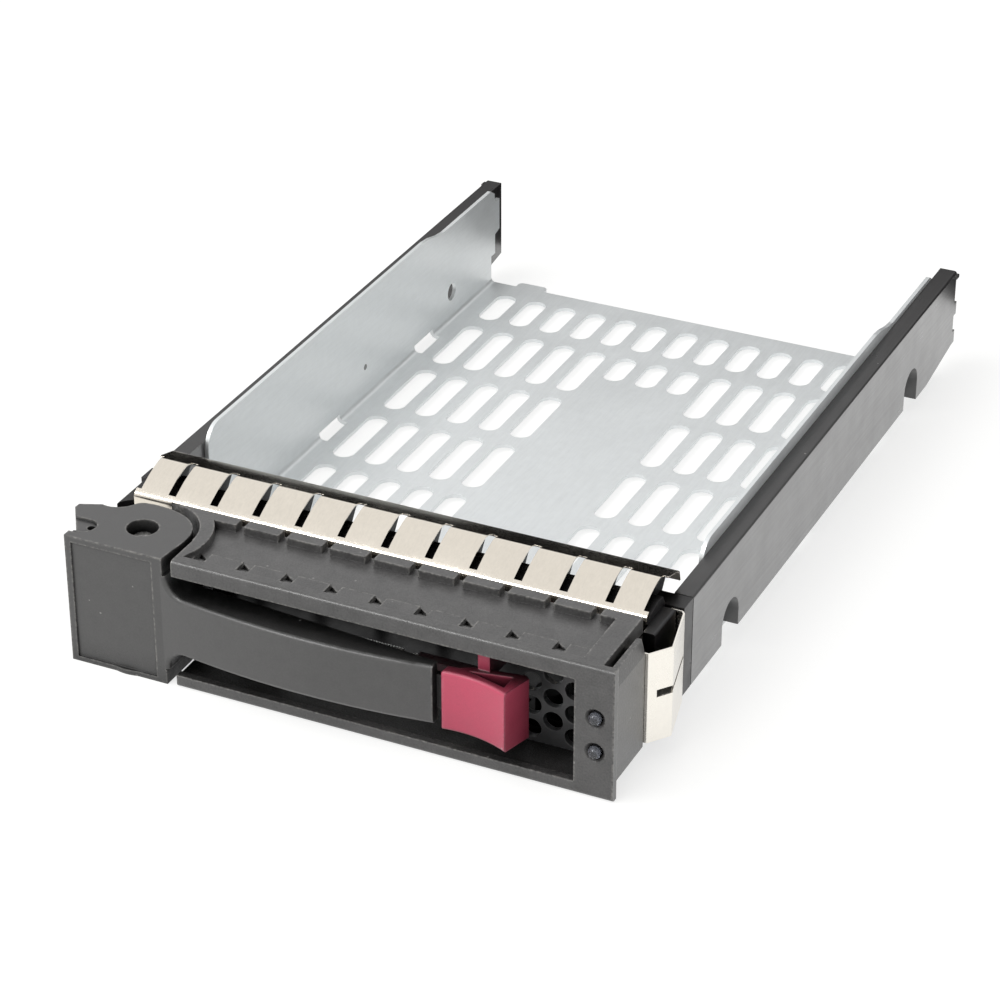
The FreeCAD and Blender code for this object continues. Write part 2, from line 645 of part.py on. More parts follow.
def make_frame(pipes):
    half = FRAME_HALF
    floor = box(-half, half, FRAME_FRONT, FRAME_REAR, FLOOR_TOP, FLOOR_TOP + FRAME_WALL)
    roof = box(-half, half, FRAME_FRONT, FRAME_REAR, FRAME_TOP - FRAME_WALL, FRAME_TOP)
    back = box(-half, half, FRAME_REAR - FRAME_WALL, FRAME_REAR, FLOOR_TOP, FRAME_TOP)
    ramp = prism_x(RAMP, -STRIP_HALF, STRIP_HALF)
    shoulder = box(half - FRAME_WALL, SHOULDER_RIGHT, FRAME_FRONT, SHOULDER_REAR, POST_BOTTOM, SHOULDER_TOP)
    shoulder = shoulder.makeFillet(
        RAIL_EDGE_R, edges_where(shoulder, lambda b: b.XMin > SHOULDER_RIGHT - SLIP and b.YLength > SHEET)
    )
    hollow = box(
        half, SHOULDER_RIGHT - FRAME_WALL, 0, SHOULDER_REAR - FRAME_WALL, 0, SHOULDER_TOP - FRAME_WALL,
    )
    key = box(half - FRAME_WALL, WALL_OUT, FRAME_FRONT, FRAME_REAR, POST_BOTTOM, FRAME_TOP)
    corner = box(half - FRAME_WALL, RAIL_OUT, POST_FRONT, FRAME_REAR, POST_BOTTOM, RAIL_TOP)
    pieces = [floor, roof, back, ramp]
    for side in (shoulder.cut(hollow), key.cut(hollow), corner):
        pieces += [side, mirror(side)]
    for n in range(STRIP_FINGERS):
        x = (n - STRIP_FINGERS / 2) * FINGER_PITCH + FINGER_PITCH / 2
        pieces.append(prism_x(FIN, x - FIN_WIDTH / 2, x + FIN_WIDTH / 2))
    tools = list(pipes)
    strip_room = STRIP_HALF + SEAT
    tools.append(box(-strip_room, strip_room, 0, RAMP[0][0], FRAME_TOP, TALL))
    swing_room = post(*PIVOT, SWING_ROOM_R, -TALL, TALL)
    tools.append(swing_room.common(box(-TALL * 2, PIVOT[0], 0, TALL, -TALL, TALL)))
    for n in range(VENT_COUNT):
        x = (n - (VENT_COUNT - 1) / 2) * VENT_PITCH
        tools.append(box(x - VENT_WIDTH / 2, x + VENT_WIDTH / 2, SHOULDER_REAR, TALL, *VENT_Z))
    for x in BEZEL_SCREWS_X:
        half = FOOT_WIDTH / 2
        foot = box(x - half, x + half, FOOT_FRONT, FRAME_FRONT + SHEET, BEZEL_FLOOR, FOOT_TOP)
        pieces += [foot, post(x, BEZEL_SCREW_Y, SCREW_BOSS_D / 2 - SEAT, BEZEL_FLOOR, SCREW_BOSS_TOP)]
        tools.append(post(x, BEZEL_SCREW_Y, TINY_SCREW_D / 2, 0, SCREW_BOSS_TOP - SHEET))
    for x in (-TRAY_SCREWS_X, TRAY_SCREWS_X):
        pieces.append(post(x, TRAY_SCREW_Y, SCREW_BOSS_D / 2, FLOOR_TOP, SCREW_BOSS_TOP))
        tools.append(post(x, TRAY_SCREW_Y, TINY_SCREW_D / 2, 0, SCREW_BOSS_TOP - SHEET))
    return joined(pieces).cut(tools)


def grip_outline(inset):
    """The grip seen from the front, with a flared root, made smaller by the inset."""
    left, right = GRIP_FRONT[0][0], GRIP_FRONT[-1][0]
    root = LEVER_RIGHT + ROOT_R + SHEET
    bar = box(left, right - inset, -TALL, TALL, GRIP_BOTTOM + inset, GRIP_TOP - inset)
    flare = box(left, root, -TALL, TALL, ROOT_BOTTOM + inset, ROOT_TOP - inset)
    rounds = [
        rod((root, -TALL, z), (0, 1, 0), 2 * TALL, ROOT_R + inset)
        for z in (GRIP_BOTTOM - ROOT_R, GRIP_TOP + ROOT_R)
    ]
    return bar.fuse(flare.cut(rounds))


def bowed_band(front_y, back):
    """Plate seen from above between the bowed front, moved back by front_y, and a straight back."""
    front = [Vector(x, y + front_y, 0) for x, y in GRIP_FRONT]
    loop = [arc(front)] + lines([front[-1]] + back[::-1] + [front[0]])
    return Part.Face(Part.Wire(loop)).extrude(Vector(0, 0, BEZEL_TOP))


def grip_form():
    """Tapered bar with a hollow back: a bowed wall with a flange all round."""
    back = [Vector(x, y, 0) for x, y in GRIP_BACK]
    solid = bowed_band(0, back).common(grip_outline(0))
    solid = solid.makeFillet(GRIP_EDGE_R, edges_where(solid, lambda b: b.XLength > TALL and b.YMax < 0))
    behind = [p + Vector(0, TALL, 0) for p in back]
    hollow = bowed_band(GRIP_THICK, behind).common(grip_outline(GRIP_FLANGE))
    return solid.cut(hollow.cut(box(-TALL * 2, LEVER_RIGHT + GRIP_FLANGE, -TALL, TALL, 0, TALL)))


def make_lever():
    corners = [Vector(x, y, EAR_BOTTOM) for x, y in HOOK_OUTLINE]
    hub = [Vector(x, y, EAR_BOTTOM) for x, y in HUB_OUTLINE]
    ear = Part.Face(Part.Wire(lines(corners) + [curve(hub)])).extrude(Vector(0, 0, EAR_THICK))
    plate = box(LEVER_LEFT, LEVER_RIGHT, 0, LEVER_PLATE, 0, BEZEL_TOP)
    cheek = box(LEVER_LEFT, LEVER_LEFT + LEVER_PLATE, 0, 2 * LEVER_PLATE, 0, BEZEL_TOP - SHEET)
    low_ear = post(*PIVOT, HUB_R, 0, LOW_EAR_TOP)
    low_bridge = box(PIVOT[0] - HUB_R, PIVOT[0] + HUB_R, 0, PIVOT[1], 0, LOW_EAR_TOP)
    end, middle = GRIP_FRONT[-1][0], (GRIP_BOTTOM + GRIP_TOP) / 2
    back = GRIP_BACK[-1][1]
    tongue = box(
        end - ROOT_R, end + TONGUE_REACH, back - SEAT, back - SEAT + TONGUE_THICK,
        middle - TONGUE_HEIGHT / 2, middle + TONGUE_HEIGHT / 2,
    )
    body = joined([ear, plate, cheek, low_ear, low_bridge, grip_form(), tongue])
    x0, x1, z0, z1 = PANEL_INSET
    x, y, radius, depth = RECESS
    recess = box(x - TALL, x, y - radius, y + radius, BEZEL_TOP - depth, TALL)
    recess = recess.fuse(post(x, y, radius, BEZEL_TOP - depth, TALL))
    tools = [
        recess,
        box(x0, x1, -SHEET, PANEL_DEPTH, z0, z1),
        post(*PIVOT, PIN_D / 2 + PIN_PLAY, -SHEET, TALL),
        post(*PIVOT, EYE_D / 2, EYE_FLOOR, TALL),
        post(*RECESS_HOLE[:3], BEZEL_TOP - RECESS_HOLE[3], TALL),
    ]
    return body.cut(tools)


def make_button():
    front = [Vector(x, y, BUTTON_BOTTOM) for x, y in BUTTON_FRONT]
    back = [Vector(x, y, BUTTON_BOTTOM) for x, y in BUTTON_BACK]
    cap = Part.Face(Part.Wire([arc(front)] + lines(back)))
    cap = cap.extrude(Vector(0, 0, BUTTON_TOP - BUTTON_BOTTOM))
    front_edges = edges_where(cap, lambda b: b.XLength > HUB_R and b.YMin < BUTTON_FRONT[1][1])
    cap = cap.makeFillet(BUTTON_EDGE_R, front_edges)
    cap = cap.cut(prism_z(BUTTON_HOLLOW, BUTTON_TOP - HOLLOW_DEPTH, TALL))
    arm = box(*ARM_X, BUTTON_BACK[3][1] - SEAT, CARRIER_Y[1], ARM_BOTTOM, ARM_TOP)
    stem = box(*ARM_X, *CARRIER_Y, FINGER_Z[0], UPPER_LIP - SEAT)
    finger = box(FINGER_LEFT, ARM_X[1], *CARRIER_Y, *FINGER_Z)
    eye = rod((FINGER_EYE[0], 0, sum(FINGER_Z) / 2), (0, 1, 0), TALL, FINGER_EYE[1] / 2)
    return joined([cap, arm, stem, finger]).cut(eye)


def make_pin():
    pin = post(*PIVOT, PIN_D / 2 - SLIP / 4, PIN_BOTTOM, PIN_TOP)
    return pin.makeChamfer(PIN_CHAMFER, edges_where(pin, lambda b: b.ZMin > PIN_TOP - SLIP))


def make_torsion_spring():
    body = coil(TORSION_R, TORSION_WIRE, TORSION_PITCH, TORSION_TURNS)
    height = TORSION_PITCH * TORSION_TURNS
    radius = TORSION_WIRE / 2
    lower = rod((TORSION_R, 0, 0), (0, -1, 0), PIVOT[1] - LEVER_PLATE - SLIP, radius)
    turn = 2 * math.pi * TORSION_TURNS
    start = (TORSION_R * math.cos(turn), TORSION_R * math.sin(turn), height)
    upper = rod(start, (-math.sin(turn), math.cos(turn), 0), TORSION_LEG, radius)
    balls = [Part.makeSphere(radius, Vector(TORSION_R, 0, 0)), Part.makeSphere(radius, Vector(*start))]
    spring = body.multiFuse([lower, upper] + balls)
    spring.translate(Vector(*PIVOT, TORSION_BOTTOM))
    return spring


def make_return_spring():
    """Extension spring with a loop at each end, from the bezel's post to the button's finger."""
    body = coil(RETURN_R, RETURN_WIRE, RETURN_PITCH, RETURN_TURNS)
    length = RETURN_PITCH * RETURN_TURNS
    radius = RETURN_WIRE / 2
    body.rotate(Vector(0, 0, 0), Vector(0, 1, 0), 90)
    y, z = SPRING_POST[1], sum(FINGER_Z) / 2
    body.translate(Vector(RETURN_START, y, z))
    pieces = []
    loop_left, loop_right = SPRING_POST[0], FINGER_EYE[0] - RETURN_LOOP_R
    for x in (loop_left, loop_right):
        ring = post(x, y, RETURN_LOOP_R + radius, z - radius, z + radius)
        pieces.append(ring.cut(post(x, y, RETURN_LOOP_R - radius, z - radius, z + radius)))
    ends = ((loop_left + RETURN_LOOP_R, RETURN_START), (RETURN_START + length, loop_right - RETURN_LOOP_R))
    for x0, x1 in ends:
        pieces.append(rod((x0, y, z), (1, 0, 0), x1 - x0, RETURN_LINK / 2))
    for x in (RETURN_START, RETURN_START + length):
        pieces.append(rod((x, y, z - RETURN_R - radius), (0, 0, 1), RETURN_R + 2 * radius, RETURN_WIRE / 2))
    return body.multiFuse(pieces)


def pipe_line(heights):
    """Where a pipe starts and ends its step down in the rail, and its height before and after it."""
    y_down, y_low = (RAIL_REAR - back for back in PIPE_STEP_BACK)
    return y_down, y_low, heights[0], heights[1]


def pipe_path(z_front, heights):
    y_down, y_low, z_rail, z_end = pipe_line(heights)
    return bent_path([
        Vector(LED_X, 0, z_front), Vector(LED_X, PIPE_STEP_Y[0], z_front),
        Vector(PIPE_RAIL_X, PIPE_STEP_Y[1], z_rail), Vector(PIPE_RAIL_X, y_down, z_rail),
        Vector(PIPE_RAIL_X, y_low, z_end), Vector(PIPE_RAIL_X, PIPE_END, z_end),
    ], PIPE_BEND_R)


def make_light_pipe(z_front, heights):
    body = swept_bar(pipe_path(z_front, heights), PIPE_WIDE / 2)
    head = rod((LED_X, 0, z_front), (0, 1, 0), PIPE_HEAD_LENGTH, PIPE_HEAD_D / 2)
    dome = Part.makeSphere(PIPE_HEAD_D / 2, Vector(LED_X, 0, z_front))
    dome = dome.cut(box(0, 2 * TALL, 0, TALL, 0, TALL))
    return joined([body, head, dome])


def pipe_room(z_front, heights):
    """Clearance round a light pipe, and the groove that opens it to the rail's inner face."""
    half = PIPE_WIDE / 2 + PIPE_ROOM
    bore = swept_bar(pipe_path(z_front, heights), half)
    y_down, y_low, z_rail, z_end = pipe_line(heights)
    middle = [(RAIL_FRONT - SHEET, z_rail), (y_down, z_rail), (y_low, z_end), (PIPE_END + SHEET, z_end)]
    band = [(y, z - half) for y, z in middle] + [(y, z + half) for y, z in middle[::-1]]
    return bore, prism_x(band, WALL_IN, PIPE_RAIL_X + half)


def make_screw(x, y, head_bottom):
    head_top = head_bottom + TINY_HEAD
    head = post(x, y, TINY_HEAD_D / 2, head_bottom, head_top)
    shank = post(x, y, TINY_SCREW_D / 2 - SLIP / 4, head_top, head_top + TINY_LENGTH)
    half = TINY_DRIVE / 2
    socket = box(x - half, x + half, y - half, y + half, head_bottom, head_bottom + TINY_HEAD / 2)
    return head.fuse(shank).removeSplitter().cut(socket)


def main():
    os.makedirs("parts", exist_ok=True)
    upper_bore, upper_groove = pipe_room(LED_HEIGHTS[0], UPPER_HEIGHTS)
    lower_bore, lower_groove = pipe_room(LED_HEIGHTS[1], LOWER_HEIGHTS)
    bores = [upper_bore, lower_bore]
    noses = [UPPER_HEIGHTS[1], LOWER_HEIGHTS[1]]
    bezel_head = HEAD_CLEAR
    tray_head = FLOOR_BOTTOM - TINY_HEAD
    nodes = {
        "tray": make_tray(),
        "right_rail": make_right_rail(bores + [upper_groove, lower_groove], noses),
        "left_rail": mirror(make_right_rail([], [])),
        "front_frame": make_frame(bores),
        "bezel": make_bezel(),
        "grille_plate": make_grille(),
        "top_contact_strip": make_strip(),
        "side_contact_clip": make_clip(),
        "lever": make_lever(),
        "lever_pivot_pin": make_pin(),
        "lever_torsion_spring": make_torsion_spring(),
        "latch_button": make_button(),
        "button_return_spring": make_return_spring(),
        "light_pipe_upper": make_light_pipe(LED_HEIGHTS[0], UPPER_HEIGHTS),
        "light_pipe_lower": make_light_pipe(LED_HEIGHTS[1], LOWER_HEIGHTS),
        "bezel_screw_left": make_screw(BEZEL_SCREWS_X[0], BEZEL_SCREW_Y, bezel_head),
        "bezel_screw_right": make_screw(BEZEL_SCREWS_X[1], BEZEL_SCREW_Y, bezel_head),
        "tray_screw_left": make_screw(-TRAY_SCREWS_X, TRAY_SCREW_Y, tray_head),
        "tray_screw_right": make_screw(TRAY_SCREWS_X, TRAY_SCREW_Y, tray_head),
    }
    for name, shape in nodes.items():
        shape.exportStep("parts/" + name + ".step")
        print(name, len(shape.Solids), round(shape.Volume), shape.isValid())


main()
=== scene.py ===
# %% [markdown]
# # Hot swap drive caddy
# A caddy carries a 3.5 inch disk drive into a server. It is a folded steel tray with a black
# rail on each side and a plastic front with a swinging lever. The solids come from the CAD
# model, which is loaded as it is, so this lesson is about finishes, light and a few fine pieces.

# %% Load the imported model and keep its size
import math

import bmesh
import bpy
from mathutils import Matrix, Vector


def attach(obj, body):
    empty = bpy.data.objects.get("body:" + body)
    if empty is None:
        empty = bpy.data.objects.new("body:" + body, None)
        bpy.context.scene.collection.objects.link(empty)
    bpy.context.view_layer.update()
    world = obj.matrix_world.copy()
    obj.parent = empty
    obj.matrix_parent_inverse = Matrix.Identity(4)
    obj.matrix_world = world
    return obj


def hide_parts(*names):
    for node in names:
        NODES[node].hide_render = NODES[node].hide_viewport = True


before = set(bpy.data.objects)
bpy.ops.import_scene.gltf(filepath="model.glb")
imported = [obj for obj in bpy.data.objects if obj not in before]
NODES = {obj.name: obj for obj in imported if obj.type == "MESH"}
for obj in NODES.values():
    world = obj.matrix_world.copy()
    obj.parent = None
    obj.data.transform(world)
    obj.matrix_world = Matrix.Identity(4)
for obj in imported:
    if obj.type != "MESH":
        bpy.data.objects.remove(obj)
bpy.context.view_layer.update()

MM = 0.001
scene = bpy.context.scene
scene.view_settings.view_transform = "Standard"

# %% [markdown]
# ## Camera
# A product picture is taken with a long lens from a little over half a metre. The camera's place
# and directions were worked out from the known size of the drive, so they are written as numbers:
# right and backward are given, and a cross product gives up. A matrix made of the three turns the
# camera exactly, with no rounding of Euler angles, and its last column is the place.

# %% Camera
RIGHT = Vector((0.9042, 0.4272, 0.0))
BACK = Vector((0.3712, -0.7857, 0.4950)).normalized()
PLACE = Vector((0.2359, -0.4281, 0.3250))
FOCAL_LENGTH = 117.15
SENSOR_WIDTH = 36.0

long_lens = bpy.data.cameras.new("long_lens")
long_lens.lens = FOCAL_LENGTH
long_lens.sensor_width = SENSOR_WIDTH
long_lens.clip_start = 0.01
camera = bpy.data.objects.new("camera", long_lens)
up = BACK.cross(RIGHT).normalized()
turn = Matrix((up.cross(BACK), up, BACK)).transposed().to_4x4()
camera.matrix_world = Matrix.Translation(PLACE) @ turn
scene.collection.objects.link(camera)
scene.camera = camera
print("camera", round(PLACE.length, 3), "m from the tray, lens", FOCAL_LENGTH)

# %% [markdown]
# ## Helpers for nodes
# A material is a small drawing of boxes and wires. Written by hand, each box takes several lines,
# so one helper adds a node, sets its options and fills its sockets. A socket is given either a
# plain value or the output of another node, and the helper makes the wire for the second kind.

# %% Node helpers
def fill(tree, node, inputs):
    """Fills sockets: a plain value is set, the output of another node is wired in."""
    for name, value in inputs.items():
        if isinstance(value, bpy.types.NodeSocket):
            tree.links.new(value, node.inputs[name])
        else:
            node.inputs[name].default_value = value


def put(tree, kind, inputs=None, **options):
    """Adds a node, sets its options and fills its sockets."""
    node = tree.nodes.new("ShaderNode" + kind)
    for name, value in options.items():
        setattr(node, name, value)
    fill(tree, node, inputs or {})
    return node


def maths(tree, operation, a, b=0.0, clamp=False):
    return put(tree, "Math", {0: a, 1: b}, operation=operation, use_clamp=clamp).outputs[0]


def stretch(tree, value, low, high, to_low=0.0, to_high=1.0):
    """Maps the range from low to high onto another one and stops at its ends."""
    sockets = {
        "Value": value, "From Min": low, "From Max": high, "To Min": to_low, "To Max": to_high,
    }
    return put(tree, "MapRange", sockets).outputs["Result"]


def blend_colour(tree, factor, a, b):
    return put(tree, "Mix", {0: factor, 6: a, 7: b}, data_type="RGBA").outputs[2]


def scale_colour(tree, colour, factor):
    return put(tree, "VectorMath", {0: colour, "Scale": factor}, operation="SCALE").outputs[0]


print("node helpers ready")

# %% [markdown]
# ## Helpers for patterns, groups and materials
# Every pattern here reads Object coordinates, which stay fixed to the piece, whatever its shape
# and wherever it moves. An effect that several finishes share becomes a group with named sockets,
# so that it is drawn once and each finish only gives its own values.

# %% Pattern, group and material helpers
NOISE_SPAN = (0.3, 0.7)  # nearly all of a noise lies between these
PLAIN_GREY = (0.1, 0.1, 0.1, 1)
NODE_SAMPLES = 6  # rays that a Bevel or an Ambient Occlusion node sends out


def own_place(tree):
    return put(tree, "TexCoord").outputs["Object"]


def noise(tree, place, scale, detail, roughness=0.5):
    sockets = {"Vector": place, "Scale": scale, "Detail": detail, "Roughness": roughness}
    return put(tree, "TexNoise", sockets).outputs[0]


def facing_up(tree):
    """1 where a face looks straight up, 0 on the sides of a piece."""
    normal = put(tree, "NewGeometry").outputs["Normal"]
    return put(tree, "SeparateXYZ", {0: normal}).outputs["Z"]


def new_group(name, inputs, outputs):
    """A node group with named sockets; gives the tree, its inputs and its output node."""
    tree = bpy.data.node_groups.new(name, "ShaderNodeTree")
    for label, kind, value in inputs:
        socket = tree.interface.new_socket(label, in_out="INPUT", socket_type="NodeSocket" + kind)
        socket.default_value = value
    for label, kind in outputs:
        tree.interface.new_socket(label, in_out="OUTPUT", socket_type="NodeSocket" + kind)
    return tree, tree.nodes.new("NodeGroupInput").outputs, tree.nodes.new("NodeGroupOutput")


def place_group(tree, group, inputs):
    return put(tree, "Group", inputs, node_tree=group).outputs


def new_material(name):
    """A material with nodes; gives the material, its tree and its Principled shader."""
    material = bpy.data.materials.new(name)
    material.use_nodes = True
    return material, material.node_tree, material.node_tree.nodes["Principled BSDF"]


print("pattern, group and material helpers ready")

# %% [markdown]
# ## Moulded skin
# Moulded plastic isn't smooth: the mould is spark-eroded, which leaves a fine grain, and the melt
# cools unevenly, which leaves cloudy changes of tone and gloss a few millimetres across. Two
# noises at two sizes give both: the clouds are nine times as large as the grains. The grain also
# goes out as a height, for the Bump node of the material.

# %% Group: moulded skin
CLOUDS_PER_GRAIN = 0.11

skin, given, result = new_group(
    "moulded_skin",
    [("Colour", "Color", PLAIN_GREY), ("Grain per metre", "Float", 2600.0),
     ("Mottle", "Float", 0.15), ("Roughness", "Float", 0.5), ("Gloss change", "Float", 0.12)],
    [("Colour", "Color"), ("Roughness", "Float"), ("Height", "Float")],
)
where = own_place(skin)
grain = noise(skin, where, given["Grain per metre"], detail=2.0, roughness=0.6)
coarse = maths(skin, "MULTIPLY", given["Grain per metre"], CLOUDS_PER_GRAIN)
cloud = noise(skin, where, coarse, detail=3.0, roughness=0.55)
both = maths(skin, "ADD", maths(skin, "MULTIPLY", grain, 0.5), maths(skin, "MULTIPLY", cloud, 0.5))
tone_swing = stretch(skin, both, *NOISE_SPAN, -1.0, 1.0)
factor = maths(skin, "ADD", 1.0, maths(skin, "MULTIPLY", tone_swing, given["Mottle"]))
gloss_swing = stretch(skin, cloud, *NOISE_SPAN, -1.0, 1.0)
gloss = maths(skin, "MULTIPLY", gloss_swing, given["Gloss change"])
fill(skin, result, {
    "Colour": scale_colour(skin, given["Colour"], factor),
    "Roughness": maths(skin, "ADD", given["Roughness"], gloss, clamp=True),
    "Height": grain,
})
print("group", skin.name, len(skin.nodes), "nodes")

# %% [markdown]
# ## Soft and worn edges, with a painted edge highlight
# No real edge is perfectly sharp. The Bevel node turns the normal near an edge, so that a modelled
# sharp edge catches a thin line of light. Rubbing wears outer edges only. An Ambient Occlusion
# node that looks inside the solid finds just those, because there the other face is close behind.
# The paler colour there is partly wear and partly a painted highlight along the edge. A noise
# breaks it into patches, since nothing is rubbed evenly.

# %% Group: worn edge with painted edge highlight
FLAT_FACE, FULL_EDGE = 0.95, 0.55  # what the inward look gives on a flat face and on an edge
PATCH_SPAN = (0.38, 0.66)

edge_wear_and_light, given, result = new_group(
    "worn_and_lit_edge",
    [("Colour", "Color", PLAIN_GREY), ("Worn and lit colour", "Color", (0.3, 0.3, 0.3, 1)),
     ("Width", "Float", 0.3 * MM), ("Wear and light", "Float", 0.5), ("Patches per metre", "Float", 400.0)],
    [("Colour", "Color"), ("Mask", "Float"), ("Normal", "Vector")],
)
inside = put(
    edge_wear_and_light, "AmbientOcclusion", {"Distance": given["Width"]},
    inside=True, only_local=True, samples=NODE_SAMPLES,
)
near_edge = stretch(edge_wear_and_light, inside.outputs["AO"], FLAT_FACE, FULL_EDGE)
patches = noise(edge_wear_and_light, own_place(edge_wear_and_light), given["Patches per metre"], detail=4.0)
uneven = maths(edge_wear_and_light, "MULTIPLY", near_edge, stretch(edge_wear_and_light, patches, *PATCH_SPAN))
mask = maths(edge_wear_and_light, "MULTIPLY", uneven, given["Wear and light"], clamp=True)
soft = put(edge_wear_and_light, "Bevel", {"Radius": given["Width"]}, samples=NODE_SAMPLES)
# The paler colour on outer edges is wear and also a painted highlight.
fill(edge_wear_and_light, result, {
    "Colour": blend_colour(edge_wear_and_light, mask, given["Colour"], given["Worn and lit colour"]),
    "Mask": mask, "Normal": soft.outputs[0],
})
print("group", edge_wear_and_light.name, len(edge_wear_and_light.nodes), "nodes")

# %% [markdown]
# ## Painted shade in deep places
# The inside of the front looks nearly black, although it is the same grey plastic: little light
# gets in. An Ambient Occlusion node that looks outwards finds the places with walls all round,
# and the colour is taken down there, which is painted shade. An upright face on the outside has
# the floor beside it, which would count as a wall, so upright faces get a share of openness added.

# %% Group: painted shade in deep places
UPRIGHT_SHARE = 0.3
UPRIGHT_SPAN = (0.2, 0.7)  # from this upward look to that one the share fades out

recess_shade, given, result = new_group(
    "painted_recess_shade",
    [("Colour", "Color", PLAIN_GREY), ("Reach", "Float", 20 * MM), ("Darkest", "Float", 0.05),
     ("Shut", "Float", 0.2), ("Open", "Float", 0.5)],
    [("Colour", "Color"), ("Openness", "Float")],
)
sky = put(recess_shade, "AmbientOcclusion", {"Distance": given["Reach"]}, samples=NODE_SAMPLES).outputs["AO"]
upright = stretch(recess_shade, facing_up(recess_shade), *UPRIGHT_SPAN, UPRIGHT_SHARE, 0.0)
openness = stretch(recess_shade, maths(recess_shade, "ADD", sky, upright), given["Shut"], given["Open"])
# Painted shade: the colour is taken down where walls are near.
share = stretch(recess_shade, openness, 0.0, 1.0, given["Darkest"], 1.0)
fill(recess_shade, result, {
    "Colour": scale_colour(recess_shade, given["Colour"], share), "Openness": openness,
})
print("group", recess_shade.name, len(recess_shade.nodes), "nodes")

# %% [markdown]
# ## Drawn lines
# Sheet steel is rolled and brushed, and both leave lines that run one way. A noise whose
# coordinates are squeezed along Y gives long thin streaks. The same group serves the contact
# springs, where the lines are plain to see, and the rails, which are rubbed as they slide.

# %% Group: drawn lines
drawn, given, result = new_group(
    "drawn_lines",
    [("Lines per metre", "Float", 3000.0), ("Length", "Float", 40.0)],
    [("Height", "Float"), ("Tone", "Float")],
)
parts = put(drawn, "SeparateXYZ", {0: own_place(drawn)}).outputs
along = maths(drawn, "DIVIDE", parts["Y"], given["Length"])
squeezed = put(drawn, "CombineXYZ", {"X": parts["X"], "Y": along, "Z": parts["Z"]}).outputs[0]
lines = noise(drawn, squeezed, given["Lines per metre"], detail=3.0, roughness=0.7)
fill(drawn, result, {"Height": lines, "Tone": stretch(drawn, lines, *NOISE_SPAN)})
print("group", drawn.name, len(drawn.nodes), "nodes")

# %% [markdown]
# ## Dust
# A caddy that has been handled carries a few pale specks. Cells of a Voronoi pattern place them:
# each cell has a random number, which picks the few cells that hold a speck, and the distance
# from the cell's own point makes the speck round and small.

# %% Group: dust
dust, given, result = new_group(
    "dust",
    [("Cells per metre", "Float", 420.0), ("Share", "Float", 0.12), ("Size", "Float", 0.09)],
    [("Mask", "Float")],
)
cells = put(dust, "TexVoronoi", {"Vector": own_place(dust), "Scale": given["Cells per metre"]})
number = put(dust, "SeparateColor", {0: cells.outputs["Color"]}).outputs[0]
chosen = maths(dust, "LESS_THAN", number, given["Share"])
near = maths(dust, "LESS_THAN", cells.outputs["Distance"], given["Size"])
fill(dust, result, {"Mask": maths(dust, "MULTIPLY", chosen, near)})
print("group", dust.name, len(dust.nodes), "nodes")

# %% [markdown]
# ## Moulded plastics
# The lever and the bezel are one dark grey plastic with a dull grain, the frame and the rails a
# blacker one with a sheen, the grille plate a worn black, and the button is wine red. All are the
# same drawing with other values: skin, then worn edges with a painted highlight, painted shade in
# deep places and dust, into one Principled shader. The grain goes through a Bump node whose base
# normal is the softened edge. A clear coat stands for the thin sheen of the outer faces, and deep
# places lose it, so their reflections carry painted shade as well.

# %% Plastic material
PATCHES_PER_METRE = 1300.0
SPECK_COLOUR = (0.5, 0.49, 0.47, 1)
SPECK_STRENGTH = 0.35


def plastic(
    name, colour, worn_and_lit, roughness, grain, bump, depth=0.05, mottle=0.12, gloss=0.1, wear_and_light_share=0.55,
    edge=0.25, specks=0.1, coat=0.4, specular=0.5, painted_shade_limits=(0.2, 0.5), reach=20.0,
):
    """A moulded plastic; depth, edge and reach are in millimetres, grain in grains per metre."""
    material, tree, shader = new_material(name)
    surface = place_group(tree, skin, {
        "Colour": (*colour, 1), "Grain per metre": grain, "Mottle": mottle,
        "Roughness": roughness, "Gloss change": gloss,
    })
    rubbed = place_group(tree, edge_wear_and_light, {
        "Colour": surface["Colour"], "Worn and lit colour": (*worn_and_lit, 1), "Wear and light": wear_and_light_share,
        "Width": edge * MM, "Patches per metre": PATCHES_PER_METRE,
    })
    shaded = place_group(tree, recess_shade, {
        "Colour": rubbed["Colour"], "Reach": reach * MM,
        "Shut": painted_shade_limits[0], "Open": painted_shade_limits[1],
    })
    specks_here = place_group(tree, dust, {"Share": specks})["Mask"]
    speck = maths(tree, "MULTIPLY", specks_here, SPECK_STRENGTH)
    relief = put(tree, "Bump", {
        "Height": surface["Height"], "Normal": rubbed["Normal"],
        "Strength": bump, "Distance": depth * MM,
    })
    fill(tree, shader, {
        "Base Color": blend_colour(tree, speck, shaded["Colour"], SPECK_COLOUR),
        "Roughness": surface["Roughness"], "Normal": relief.outputs[0],
        # Painted shade on reflections too: the coat fades in deep places.
        "Coat Weight": maths(tree, "MULTIPLY", shaded["Openness"], coat),
        "Coat Roughness": 0.35, "Specular IOR Level": specular,
    })
    return material


print("plastic material ready")

# %% [markdown]
# The values of each plastic. The bezel has the deepest grain and the strongest clouds, the lever
# is a little smoother. The button is nearly even, with a paler red along its edges, which is wear
# and a painted highlight. Their limits of painted shade darken the top of the lever's grip under
# the lip, and the sides of the button, which face its recess.

# %% Plastics
GREY_WORN_AND_LIT = (0.3, 0.29, 0.27)

